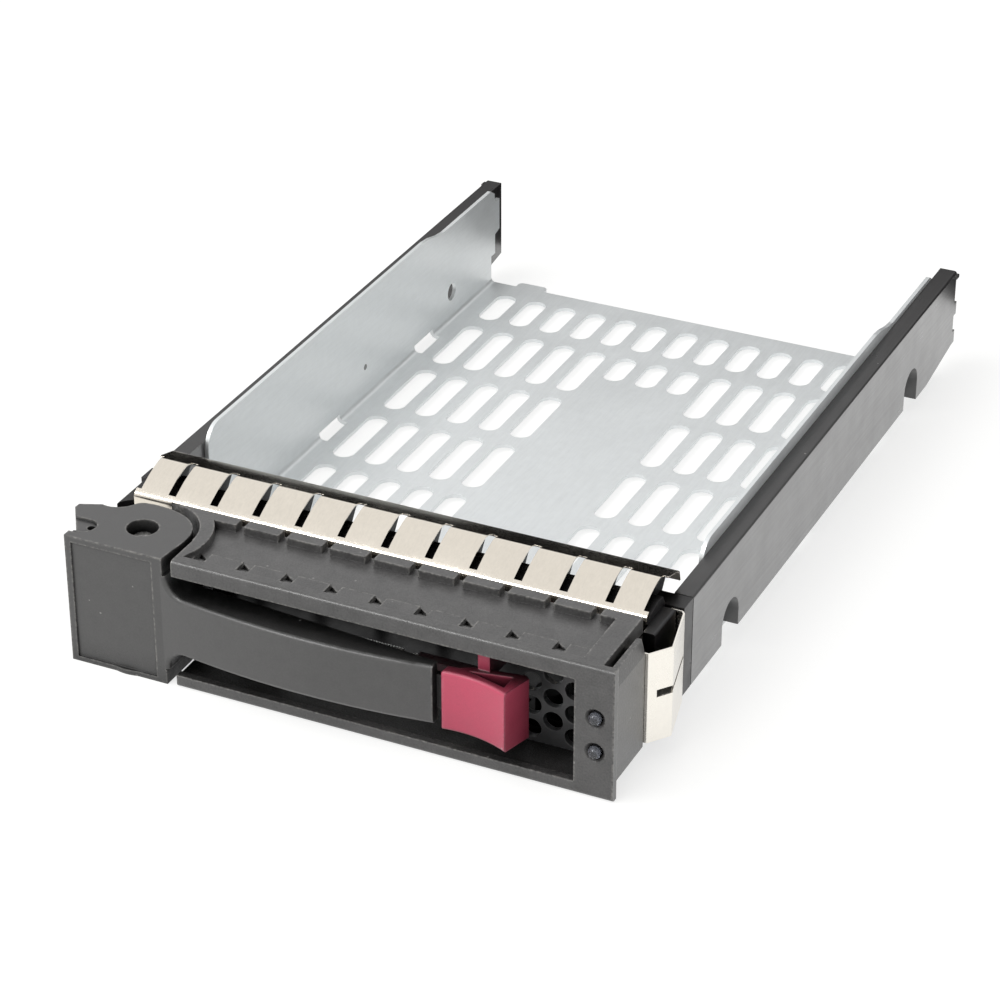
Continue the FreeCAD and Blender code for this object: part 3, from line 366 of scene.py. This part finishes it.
bezel_grey = plastic(
    "bezel_grey", (0.067, 0.0655, 0.0645), GREY_WORN_AND_LIT, roughness=0.5, grain=2600.0, bump=1.0,
    depth=0.14, mottle=0.5, wear_and_light_share=0.9, edge=0.45, coat=1.0, specular=0.25,
    painted_shade_limits=(0.35, 0.6),
)
lever_grey = plastic(
    "lever_grey", (0.07, 0.069, 0.068), GREY_WORN_AND_LIT, roughness=0.48, grain=3600.0, bump=0.5,
    mottle=0.18, wear_and_light_share=0.9, edge=0.45, coat=0.7, specular=0.3,
    painted_shade_limits=(0.6, 0.88), reach=12.0,
)
frame_black = plastic(
    "frame_black", (0.014, 0.013, 0.014), (0.09, 0.088, 0.085), roughness=0.36, grain=2400.0,
    bump=0.1, specks=0.05, coat=0.6, specular=0.1, painted_shade_limits=(0.5, 0.85),
)
grille_black = plastic(
    "grille_black", (0.05, 0.05, 0.052), (0.22, 0.22, 0.22), roughness=0.4, grain=3000.0,
    bump=0.4, specks=0.15, painted_shade_limits=(0.1, 0.4), reach=10.0,
)
button_red = plastic(
    "button_red", (0.6, 0.075, 0.14), (0.74, 0.3, 0.38), roughness=0.42, grain=3200.0,
    bump=0.12, mottle=0.05, wear_and_light_share=0.3, edge=0.6, specks=0.03, coat=0.15,
    painted_shade_limits=(0.5, 1.08), reach=30.0,
)
print("plastics", [m.name for m in (bezel_grey, lever_grey, frame_black, grille_black, button_red)])

# %% [markdown]
# ## Rails
# The rails are black plastic with a sheen, and they slide along the bay at every change of drive.
# So they get the drawn lines as well, which change the gloss along Y. Their rubbed sides look pale
# grey at a flat angle, as a polished black surface does, while their tops stay black. A coat with
# a higher IOR gives that look, and the upward part of the normal takes it off the tops.

# %% Rail material
STREAK_CHANGE = (-0.04, 0.05)
SIDE_TO_TOP = (0.3, 0.8)  # the upward look where the sides end and where the tops begin
COAT_ON_TOPS = 0.15


def rail_plastic():
    material = plastic(
        "rail_black", (0.022, 0.0205, 0.021), (0.13, 0.12, 0.11), roughness=0.34, grain=1500.0,
        bump=0.03, mottle=0.1, gloss=0.05, coat=1.0,
    )
    tree = material.node_tree
    shader = tree.nodes["Principled BSDF"]
    rough = shader.inputs["Roughness"].links[0].from_socket
    coat = shader.inputs["Coat Weight"].links[0].from_socket
    rubbed = place_group(tree, drawn, {"Lines per metre": 1600.0, "Length": 60.0})
    streaks = stretch(tree, rubbed["Tone"], 0.0, 1.0, *STREAK_CHANGE)
    glossy_sides = stretch(tree, facing_up(tree), *SIDE_TO_TOP, 1.0, COAT_ON_TOPS)
    fill(tree, shader, {
        "Roughness": maths(tree, "ADD", rough, streaks, clamp=True),
        "Coat Weight": maths(tree, "MULTIPLY", coat, glossy_sides),
        "Coat IOR": 1.66, "Coat Roughness": 0.2,
    })
    return material


rail_black = rail_plastic()
print("rail finish", rail_black.name)

# %% [markdown]
# ## Metals
# The tray is zinc plated steel: pale, a little blue and satin, with soft clouds from the bath.
# The contact springs are rolled stainless steel, warmer and much brighter, with clear lines. The
# pin, screws and springs are bright drawn wire or turned rod. Lines and clouds change both the
# tone and the roughness, because a real finish changes both together. Zinc that has dulled is
# only partly a mirror, so the tray's Metallic value is a half.

# %% Metal material
BATH_CLOUDS_PER_METRE = 550.0
RUBBED_METAL = (0.9, 0.9, 0.9, 1)
LINE_DEPTH = 0.01 * MM


def metal(
    name, colour, roughness, lines_per_metre, length, bump,
    cloud_tone=0.06, edge=0.12, metallic=1.0, lines=0.06,
):
    """A rolled or plated metal; edge is in millimetres, length the stretch of its lines."""
    material, tree, shader = new_material(name)
    surface = place_group(tree, skin, {
        "Colour": (*colour, 1), "Grain per metre": BATH_CLOUDS_PER_METRE, "Mottle": cloud_tone,
        "Roughness": roughness, "Gloss change": 0.05,
    })
    rolled = place_group(tree, drawn, {"Lines per metre": lines_per_metre, "Length": length})
    tone = stretch(tree, rolled["Tone"], 0.0, 1.0, 1.0 - lines, 1.0 + lines)
    rim = place_group(tree, edge_wear_and_light, {
        "Colour": scale_colour(tree, surface["Colour"], tone), "Worn and lit colour": RUBBED_METAL,
        "Wear and light": 0.4, "Width": edge * MM,
    })
    change = stretch(tree, rolled["Tone"], 0.0, 1.0, -lines, lines)
    relief = put(tree, "Bump", {
        "Height": rolled["Height"], "Normal": rim["Normal"],
        "Strength": bump, "Distance": LINE_DEPTH,
    })
    fill(tree, shader, {
        "Base Color": rim["Colour"], "Normal": relief.outputs[0], "Metallic": metallic,
        "Roughness": maths(tree, "ADD", surface["Roughness"], change, clamp=True),
    })
    return material


print("metal material ready")

# %% [markdown]
# The values of each metal. The tray has weak lines and soft clouds. The contact strip is the
# warmest and smoothest sheet, and the clip beside it is paler. Wire is bent every way, so its
# lines are hardly stretched along Y.

# %% Metals
zinc_plate = metal(
    "zinc_plate", (0.83, 0.855, 0.86), roughness=0.38, lines_per_metre=1800.0, length=12.0,
    bump=0.03, cloud_tone=0.03, edge=0.05, metallic=0.5, lines=0.03,
)
spring_sheet = metal(
    "spring_sheet", (0.755, 0.7, 0.615), roughness=0.16, lines_per_metre=2600.0, length=45.0,
    bump=0.06, cloud_tone=0.03, edge=0.06, lines=0.025,
)
clip_sheet = metal(
    "clip_sheet", (0.9, 0.865, 0.8), roughness=0.24, lines_per_metre=2600.0, length=45.0,
    bump=0.06, cloud_tone=0.03, edge=0.04, lines=0.02,
)
bright_wire = metal(
    "bright_wire", (0.68, 0.67, 0.65), roughness=0.24, lines_per_metre=2000.0, length=3.0,
    bump=0.15, edge=0.1,
)
print("metals", [m.name for m in (zinc_plate, spring_sheet, clip_sheet, bright_wire)])

# %% [markdown]
# ## Light pipes
# Two rods of clear acrylic bring the lamps of the bay's rear wall to the front. From outside they
# look dark, because they show the inside of the housing. Real transmission gives that look by
# itself, with a smoky tint, and the skin group makes the domes a little uneven.

# %% Light pipe material
def clear_acrylic():
    material, tree, shader = new_material("clear_acrylic")
    surface = place_group(tree, skin, {
        "Colour": (0.32, 0.33, 0.36, 1), "Grain per metre": 1800.0, "Mottle": 0.08,
        "Roughness": 0.13, "Gloss change": 0.04,
    })
    relief = put(tree, "Bump", {
        "Height": surface["Height"], "Strength": 0.1, "Distance": 0.005 * MM,
    })
    fill(tree, shader, {
        "Base Color": surface["Colour"], "Roughness": surface["Roughness"],
        "Normal": relief.outputs[0], "Transmission Weight": 0.9, "IOR": 1.49,
    })
    return material


acrylic = clear_acrylic()
print("light pipes", acrylic.name)

# %% [markdown]
# ## Give each solid its finish
# The mesh of a solid isn't touched: its material slots are emptied and filled again. A table of
# node names and finishes is easier to check than a long list of calls, and a missing name shows.

# %% Assign the finishes
FINISHES = {
    "tray": zinc_plate, "right_rail": rail_black, "left_rail": rail_black,
    "front_frame": frame_black, "bezel": bezel_grey, "grille_plate": grille_black,
    "top_contact_strip": spring_sheet, "side_contact_clip": clip_sheet,
    "lever": lever_grey, "lever_pivot_pin": bright_wire, "lever_torsion_spring": bright_wire,
    "latch_button": button_red, "button_return_spring": bright_wire,
    "light_pipe_upper": acrylic, "light_pipe_lower": acrylic,
    "bezel_screw_left": bright_wire, "bezel_screw_right": bright_wire,
    "tray_screw_left": bright_wire, "tray_screw_right": bright_wire,
}
for name, finish in FINISHES.items():
    NODES[name].data.materials.clear()
    NODES[name].data.materials.append(finish)
print("without a finish:", sorted(set(NODES) - set(FINISHES)))

# %% [markdown]
# ## Helpers for new pieces
# A few pieces are too fine for the CAD model's flats and are made again with bmesh operators.
# Each has its place in the mesh itself, so its object stays at the origin. It rides on a body, and
# a piece that is made again whole stands for its solid.

# %% Piece helpers
WELD = 1e-7


def aimed(place, direction):
    """A matrix that puts something at a place and turns its Z along a direction."""
    return Matrix.Translation(place) @ direction.to_track_quat("Z", "Y").to_matrix().to_4x4()


def pick(made, kind):
    """The points or edges among what an operator made."""
    return [part for part in made["geom"] if isinstance(part, kind)]


def mesh_object(bm, name, material):
    mesh = bpy.data.meshes.new(name)
    bm.to_mesh(mesh)
    bm.free()
    mesh.materials.append(material)
    thing = bpy.data.objects.new(name, mesh)
    scene.collection.objects.link(thing)
    return thing


def finish_piece(bm, name, material, body, slot, *stands_for, close=True):
    """Closes the ends, smooths the four-sided faces and hands the mesh to a new object."""
    bmesh.ops.remove_doubles(bm, verts=bm.verts[:], dist=WELD)
    if close:
        bmesh.ops.holes_fill(bm, edges=bm.edges[:], sides=0)
    bmesh.ops.recalc_face_normals(bm, faces=bm.faces[:])
    for face in bm.faces:
        face.smooth = len(face.verts) == 4
    piece = mesh_object(bm, name, material)
    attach(piece, body)
    if stands_for:
        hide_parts(*stands_for)
    print(name, len(piece.data.polygons), "faces")
    return piece


print("piece helpers ready")

# %% [markdown]
# ## Wire springs
# A small extension spring pulls the button back, and its bright turns glint in the gap behind the
# lever's grip. In the CAD model the wire has six flats, which is enough for a solid but not for a
# glint. A spin with a step along its own axis winds a ring of points into a helix, and a spin of a
# full turn closes a loop.

# %% Wire helpers
WIRE_SIDES = 10
LOOP_STEPS = 28


def wire_ring(bm, centre, normal, wire):
    """A ring of points and edges, which is the section of a wire."""
    made = bmesh.ops.create_circle(
        bm, cap_ends=False, segments=WIRE_SIDES, radius=wire / 2, matrix=aimed(centre, normal),
    )
    points = made["verts"]
    return points + list(dict.fromkeys(edge for point in points for edge in point.link_edges))


def wind(bm, centre, axis, offset, wire, pitch, turns, steps=18):
    """Winds wire round an axis through the centre, with steps to each turn."""
    ring = wire_ring(bm, centre + offset, axis.cross(offset), wire)
    bmesh.ops.spin(
        bm, geom=ring, cent=centre, axis=axis, dvec=axis * (pitch / steps),
        angle=2 * math.pi * turns, steps=round(turns * steps), use_merge=False,
    )


def loop(bm, centre, axis, offset, wire):
    """A closed ring of wire round an axis through the centre."""
    ring = wire_ring(bm, centre + offset, axis.cross(offset), wire)
    bmesh.ops.spin(
        bm, geom=ring, cent=centre, axis=axis, angle=2 * math.pi, steps=LOOP_STEPS, use_merge=True,
    )


def straight(bm, start, end, wire):
    """A straight piece of wire with closed ends."""
    run = end - start
    bmesh.ops.create_cone(
        bm, cap_ends=True, segments=WIRE_SIDES, radius1=wire / 2, radius2=wire / 2,
        depth=run.length, matrix=aimed((start + end) / 2, run),
    )


print("wire helpers ready")

# %% [markdown]
# The return spring is close wound, as an extension spring is, with a loop at each end: one round
# the post in the bezel and one through the eye of the button's finger. Its middle line is 12.2 mm
# behind the front face and 10.3 mm up, as in the CAD model.

# %% Button return spring
X, Z = Vector((1, 0, 0)), Vector((0, 0, 1))
LINE_Y, LINE_Z = 12.2 * MM, 10.3 * MM
POST_X, EYE_X = -17.5 * MM, 13.0 * MM
RETURN_WIRE = 0.46 * MM
LOOP_R, COIL_R = 2.05 * MM, 1.5 * MM
LEFT_TAIL, RIGHT_TAIL = 1.2 * MM, 0.8 * MM
TURNS = 38


def on_line(x):
    return Vector((x, LINE_Y, LINE_Z))


bm = bmesh.new()
left, right = POST_X, EYE_X - LOOP_R
coil_start, coil_end = left + LOOP_R + LEFT_TAIL, right - LOOP_R - RIGHT_TAIL
for x in (left, right):
    loop(bm, on_line(x), Z, X * LOOP_R, RETURN_WIRE)
wind(
    bm, on_line(coil_start), X, Z * COIL_R, RETURN_WIRE,
    pitch=(coil_end - coil_start) / TURNS, turns=TURNS,
)
straight(bm, on_line(left + LOOP_R), on_line(coil_start + RETURN_WIRE), RETURN_WIRE)
straight(bm, on_line(coil_end - RETURN_WIRE), on_line(right - LOOP_R), RETURN_WIRE)
for x in (coil_start, coil_end):
    straight(bm, on_line(x), on_line(x) + Z * COIL_R, RETURN_WIRE)
finish_piece(
    bm, "return_spring_wire", bright_wire, "caddy", "bright_steel", "button_return_spring",
)

# %% [markdown]
# The torsion spring sits round the pin under the lever's boss and throws the lever open when the
# button lets go. It is wound the same way, with two straight legs.

# %% Lever torsion spring
PIVOT = Vector((-42.4, 8.3, 3.7)) * MM
TORSION_WIRE = 0.8 * MM
TORSION_R = 3.3 * MM
TORSION_PITCH = 1.15 * MM
TORSION_TURNS = 3.75
LEG = 6.5 * MM

bm = bmesh.new()
wind(
    bm, PIVOT, Z, X * TORSION_R, TORSION_WIRE,
    pitch=TORSION_PITCH, turns=TORSION_TURNS, steps=32,
)
low_end = PIVOT + Vector((TORSION_R, 0, 0))
top_end = PIVOT + Vector((0, -TORSION_R, TORSION_PITCH * TORSION_TURNS))
straight(bm, low_end, low_end + Vector((0, -LEG, 0)), TORSION_WIRE)
straight(bm, top_end, top_end + Vector((LEG, 0, 0)), TORSION_WIRE)
finish_piece(
    bm, "torsion_spring_wire", bright_wire, "caddy", "bright_steel", "lever_torsion_spring",
)

# %% [markdown]
# ## Contact strip
# The strip on top is one bent band of spring steel, cut into fingers, and each finger is bowed by
# the press. The CAD model gives it straight runs between bends. Light slides over a bow quite
# differently, so the band is made again here: its side view is drawn as a few points and swept to
# the right step by step, one step for each finger and each slit.

# %% Contact strip: sweep the side view
HALF = 52.0 * MM
END = 1.0 * MM
PITCH = 8.88 * MM
SLIT = 1.6 * MM
FINGERS = 12
SIDE_VIEW = [
    (21.02, 22.7), (21.02, 24.9), (22.6, 25.95), (25.4, 27.3), (27.8, 28.15), (29.6, 28.55),
    (31.6, 28.0), (36.2, 26.75), (36.8, 24.4),
]

stops = [END - HALF]
for n in range(1, FINGERS):
    middle = (n - FINGERS / 2) * PITCH
    stops += [middle - SLIT / 2, middle + SLIT / 2]
stops += [HALF - END, HALF]

band = bmesh.new()
row = [band.verts.new((-HALF, y * MM, z * MM)) for y, z in SIDE_VIEW]
chain = [band.edges.new(pair) for pair in zip(row, row[1:])]
at = -HALF
for stop in stops:
    made = bmesh.ops.extrude_edge_only(band, edges=chain)
    chain = pick(made, bmesh.types.BMEdge)
    bmesh.ops.translate(band, vec=(stop - at, 0, 0), verts=pick(made, bmesh.types.BMVert))
    at = stop
print("band", len(stops), "steps,", len(band.faces), "faces")

# %% [markdown]
# The lines between the steps' faces that run from left to right are the bends, and a bevel rounds
# them. The slits are the faces that are taken out. Solidify then gives the steel its thickness,
# after the faces are turned upwards, so that it grows to the same side everywhere. Smooth shading
# stops at the cut edges, which are sharper than 35 degrees.

# %% Contact strip: bends, slits and thickness
BEND = 0.65 * MM
SHEET = 0.25 * MM
SLIT_FRONT, SLIT_REAR = 22.3 * MM, 30.9 * MM

bends = [
    edge for edge in band.edges
    if len(edge.link_faces) == 2 and abs(edge.verts[0].co.x - edge.verts[1].co.x) > END / 2
]
bmesh.ops.bevel(
    band, geom=bends, offset=BEND, affect="EDGES", segments=5, profile=0.5, material=-1,
    clamp_overlap=True,
)
gaps = []
for face in band.faces:
    middle = face.calc_center_median()
    from_slit = abs(middle.x / PITCH - round(middle.x / PITCH)) * PITCH
    in_gap = from_slit < SLIT / 2 or abs(middle.x) > HALF - END
    if in_gap and SLIT_FRONT < middle.y < SLIT_REAR:
        gaps.append(face)
bmesh.ops.delete(band, geom=gaps, context="FACES")
bmesh.ops.recalc_face_normals(band, faces=band.faces[:])
if sum(face.normal.z for face in band.faces) < 0:
    bmesh.ops.reverse_faces(band, faces=band.faces[:])
bmesh.ops.solidify(band, geom=band.faces[:], thickness=SHEET)
strip = finish_piece(
    band, "bowed_contact_strip", spring_sheet, "caddy", "spring_steel", "top_contact_strip",
    close=False,
)
strip.data.set_sharp_from_angle(angle=math.radians(35))

# %% [markdown]
# ## Lamp lenses
# The ends of the light pipes are small domes. A dome with flat facets has no clean glint, so each
# gets a smooth cap: a sphere of many faces, cut with bisect_plane just behind its middle. The cut
# is closed with one flat face, and only the faces of the dome are shaded smooth.

# %% Lens caps
LENS_R = 1.17 * MM
LENS_X = 51.65
CUT_BEHIND = Vector((0, 0.3 * MM, 0))

for name, height in (("lens_upper", 16.5), ("lens_lower", 9.6)):
    middle = Vector((LENS_X, 0.0, height)) * MM
    bm = bmesh.new()
    bmesh.ops.create_uvsphere(
        bm, u_segments=32, v_segments=24, radius=LENS_R, matrix=Matrix.Translation(middle),
    )
    bmesh.ops.bisect_plane(
        bm, geom=bm.verts[:] + bm.edges[:] + bm.faces[:], plane_co=middle + CUT_BEHIND,
        plane_no=(0, 1, 0), clear_outer=True,
    )
    cap = finish_piece(bm, name, acrylic, "caddy", "clear_plastic")
    for face in cap.data.polygons:
        face.use_smooth = len(face.vertices) < 5

# %% [markdown]
# ## Floor
# The picture has a white ground with only a soft shadow. A white floor lit by soft lamps is never
# quite white, and more light would burn out the steel. So the rays that come from the camera, or
# by way of a reflection, see the floor with some brightness of its own added. It still gets
# darker where the caddy keeps the light off, so the shadow stays.

# %% Floor
FLOOR_HALF = 4.0


def seen_rays(tree):
    """1 for rays from the camera, from a reflection or through glass, else 0."""
    path = put(tree, "LightPath").outputs
    mirrored = maths(tree, "ADD", path["Is Camera Ray"], path["Is Glossy Ray"])
    return maths(tree, "ADD", mirrored, path["Is Transmission Ray"], clamp=True)


def ground_material():
    material, tree, shader = new_material("white_ground")
    tree.nodes.remove(shader)
    plain = put(tree, "BsdfDiffuse", {"Color": (0.85, 0.85, 0.85, 1)}).outputs[0]
    dull = put(tree, "BsdfDiffuse", {"Color": (0.42, 0.42, 0.41, 1)}).outputs[0]
    own = put(tree, "Emission", {"Color": (1, 1, 1, 1), "Strength": 0.7}).outputs[0]
    bright = put(tree, "AddShader", {0: dull, 1: own}).outputs[0]
    either = put(tree, "MixShader", {0: seen_rays(tree), 1: plain, 2: bright}).outputs[0]
    fill(tree, tree.nodes["Material Output"], {"Surface": either})
    return material


bm = bmesh.new()
just_below = Matrix.Translation((0, 0, -0.02 * MM))
bmesh.ops.create_grid(bm, x_segments=2, y_segments=2, size=FLOOR_HALF, matrix=just_below)
floor = mesh_object(bm, "floor", ground_material())
print("floor", [round(v, 2) for v in floor.dimensions])

# %% [markdown]
# ## Light
# The caddy was photographed in a white tent: light from everywhere, a little more from above and
# the left. The world gives the tent, and it is brighter where it is seen or mirrored than as a
# lamp. One large soft lamp gives the direction. Reflections don't see the lamp itself, because
# the bright steel would show it as a burnt out patch.

# %% World and lamp
TENT_AS_LAMP, TENT_SEEN = 0.5, 1.0
LAMP_PLACE = Vector((-0.5, -0.6, 1.05))
LAMP_TARGET = Vector((0, 0.08, 0))
LAMP_SIZE = 1.2
LAMP_POWER = 12.0

world = bpy.data.worlds.new("tent")
scene.world = world
world.use_nodes = True
tree = world.node_tree
strength = stretch(tree, seen_rays(tree), 0.0, 1.0, TENT_AS_LAMP, TENT_SEEN)
fill(tree, tree.nodes["Background"], {"Strength": strength, "Color": (1, 1, 1, 1)})

soft_box = bpy.data.lights.new("soft_box", "AREA")
soft_box.shape = "SQUARE"
soft_box.size = LAMP_SIZE
soft_box.energy = LAMP_POWER
lamp = bpy.data.objects.new("soft_box", soft_box)
lamp.matrix_world = aimed(LAMP_PLACE, LAMP_PLACE - LAMP_TARGET)
lamp.visible_glossy = False
scene.collection.objects.link(lamp)
print("lamp", LAMP_POWER, "W,", round((LAMP_PLACE - LAMP_TARGET).length, 2), "m away")

# %% [markdown]
# ## Dark card
# In a tent that is white all round, bright steel turns white and loses its form. A photographer
# stands a black card near it. This one is behind the tray, with a foot that lies on the floor and
# is shorter at the right, and it turns the rear slope of the contact strip black, as in the
# photograph. Only reflections see it, so it throws no shadow and takes no light away.

# %% Dark card
CARD_PLACE = Vector((-0.12, 0.42, 0.08))
CARD_HALF = 0.5
CARD_HEIGHT = 0.16
FOOT_DEPTH, FOOT_CUT, FOOT_LIFT = 0.225, 0.34, 0.001


def only_for_reflections(stage_piece):
    stage_piece.visible_camera = False
    stage_piece.visible_diffuse = False
    stage_piece.visible_shadow = False
    stage_piece.visible_transmission = False


bm = bmesh.new()
standing = Matrix.Translation(CARD_PLACE) @ Matrix.Rotation(math.pi / 2, 4, "X")
bmesh.ops.create_grid(bm, x_segments=1, y_segments=1, size=CARD_HALF, matrix=standing)
bmesh.ops.scale(
    bm, vec=(1, 1, CARD_HEIGHT / (2 * CARD_HALF)), verts=bm.verts[:],
    space=Matrix.Translation((0, 0, -CARD_PLACE.z)),
)
foot = [vert for vert in bm.verts if vert.co.z < CARD_HEIGHT / 2]
lower = [edge for edge in bm.edges if all(vert in foot for vert in edge.verts)]
near = pick(bmesh.ops.extrude_edge_only(bm, edges=lower), bmesh.types.BMVert)
bmesh.ops.translate(bm, vec=(0, -FOOT_DEPTH, 0), verts=near)
bmesh.ops.translate(bm, vec=(-FOOT_CUT, 0, 0), verts=[vert for vert in near if vert.co.x > 0])
bmesh.ops.translate(bm, vec=(0, 0, FOOT_LIFT), verts=foot + near)

black, tree, shader = new_material("dark_card")
fill(tree, shader, {
    "Base Color": (0.01, 0.01, 0.01, 1), "Roughness": 1.0, "Specular IOR Level": 0.0,
})
card = mesh_object(bm, "dark_card", black)
only_for_reflections(card)
print("card", [round(v, 2) for v in card.dimensions])

# %% [markdown]
# ## Glint card
# The rounded front edges of the grip and the lip, and the domes of the lenses, carry a thin bright
# line or dot. A small shining card in front, above and to the left gives it. No flat face of the
# caddy is turned so that it mirrors this card, only the edges in between do.

# %% Glint card
GLINT_PLACE = Vector((-0.33, -0.42, 0.68))
GLINT_HALF = 0.13
GLINT_STRENGTH = 15.0

shine, tree, shader = new_material("glint")
tree.nodes.remove(shader)
glow = put(tree, "Emission", {"Color": (1, 1, 1, 1), "Strength": GLINT_STRENGTH})
fill(tree, tree.nodes["Material Output"], {"Surface": glow.outputs[0]})
bm = bmesh.new()
bmesh.ops.create_grid(
    bm, x_segments=1, y_segments=1, size=GLINT_HALF, matrix=aimed(GLINT_PLACE, GLINT_PLACE),
)
glint_card = mesh_object(bm, "glint_card", shine)
only_for_reflections(glint_card)
print("glint card", [round(v, 2) for v in glint_card.dimensions])
